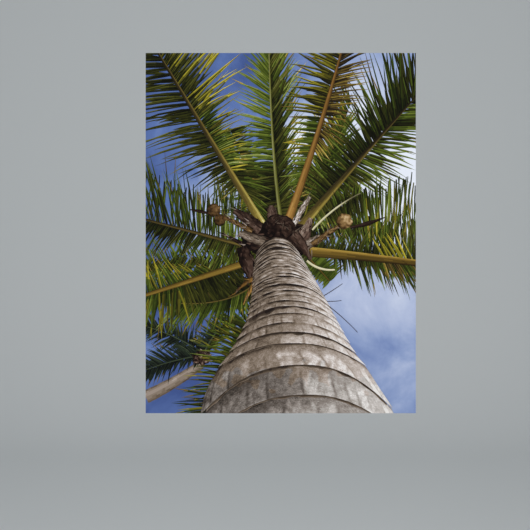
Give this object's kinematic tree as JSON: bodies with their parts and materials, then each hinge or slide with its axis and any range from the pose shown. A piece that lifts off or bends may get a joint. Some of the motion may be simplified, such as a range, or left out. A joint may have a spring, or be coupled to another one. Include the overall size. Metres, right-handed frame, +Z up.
{
  "type": "unframed wall print",
  "caption": "Unframed rectangular wall print: a thin self-adhesive film with a coconut palm seen from its foot, printed to the edges.",
  "frame": {"origin": "centre of the flat back face, which lies on the wall", "axes": "+Z up along the long side, +X along the short side to the picture's right, picture facing -Y, +Y into the wall"},
  "size_m": [0.6858, 0.0012, 0.9144],
  "materials": {
    "printed_film": "matte printed film, sky blue and cloud white, white at its cut edges",
    "adhesive_back": "dull self-adhesive coat on the film's back",
    "bark_ink": "matte print ink, grey-beige bark",
    "ring_scar_ink": "matte print ink, dark brown cracks under the trunk's rings",
    "leaf_ink": "matte print ink, leaf green to yellow-green",
    "shaded_leaf_ink": "matte print ink, leaves in shade",
    "far_leaf_ink": "matte print ink, dark distant leaves",
    "old_leaf_ink": "matte print ink, yellowing old leaves",
    "husk_ink": "matte print ink, brown coconut husk",
    "fibre_ink": "matte print ink, dark crown fibre",
    "sheath_ink": "matte print ink, dry leaf sheaths",
    "spike_ink": "matte print ink, dark flower spikes",
    "stalk_ink": "matte print ink, dead and pale stalks"
  },
  "bodies": {
    "root": {"adhesive": "adhesive_back", "coconut_lower": "husk_ink", "coconut_right": "husk_ink", "coconut_upper": "husk_ink", "crown_fibre": "fibre_ink", "crown_shade": "fibre_ink", "curled_stalk": "stalk_ink", "dead_blade_lower": "stalk_ink", "dead_blade_upper": "stalk_ink", "far_crown": "fibre_ink", "far_frond_level": "far_leaf_ink", "far_frond_right": "far_leaf_ink", "far_frond_upper": "far_leaf_ink", "far_trunk": "bark_ink", "fibre_skirt": "fibre_ink", "film": "printed_film", "flower_spike_left": "spike_ink", "flower_spike_right": "spike_ink", "flower_stalk": "stalk_ink", "frond_behind_left": "shaded_leaf_ink", "frond_behind_low_left": "shaded_leaf_ink", "frond_behind_right": "shaded_leaf_ink", "frond_behind_top": "shaded_leaf_ink", "frond_behind_upper_left": "shaded_leaf_ink", "frond_below_left": "leaf_ink", "frond_below_right": "leaf_ink", "frond_hanging": "leaf_ink", "frond_left": "leaf_ink", "frond_low_curved": "leaf_ink", "frond_lower_left": "leaf_ink", "frond_old": "old_leaf_ink", "frond_right": "leaf_ink", "frond_top": "leaf_ink", "frond_top_left": "leaf_ink", "frond_upper_right": "leaf_ink", "nub": "fibre_ink", "nut_stalk_left": "stalk_ink", "nut_stalk_right": "stalk_ink", "ring_scar_1": "ring_scar_ink", "ring_scar_2": "ring_scar_ink", "ring_scar_3": "ring_scar_ink", "ring_scar_4": "ring_scar_ink", "ring_scar_5": "ring_scar_ink", "ring_scar_6": "ring_scar_ink", "sheath_dark": "sheath_ink", "sheath_knob": "sheath_ink", "sheath_left": "sheath_ink", "sheath_right": "sheath_ink", "sheath_shadow": "sheath_ink", "sheath_upper_left": "sheath_ink", "trunk": "bark_ink"}
  },
  "joints": []
}
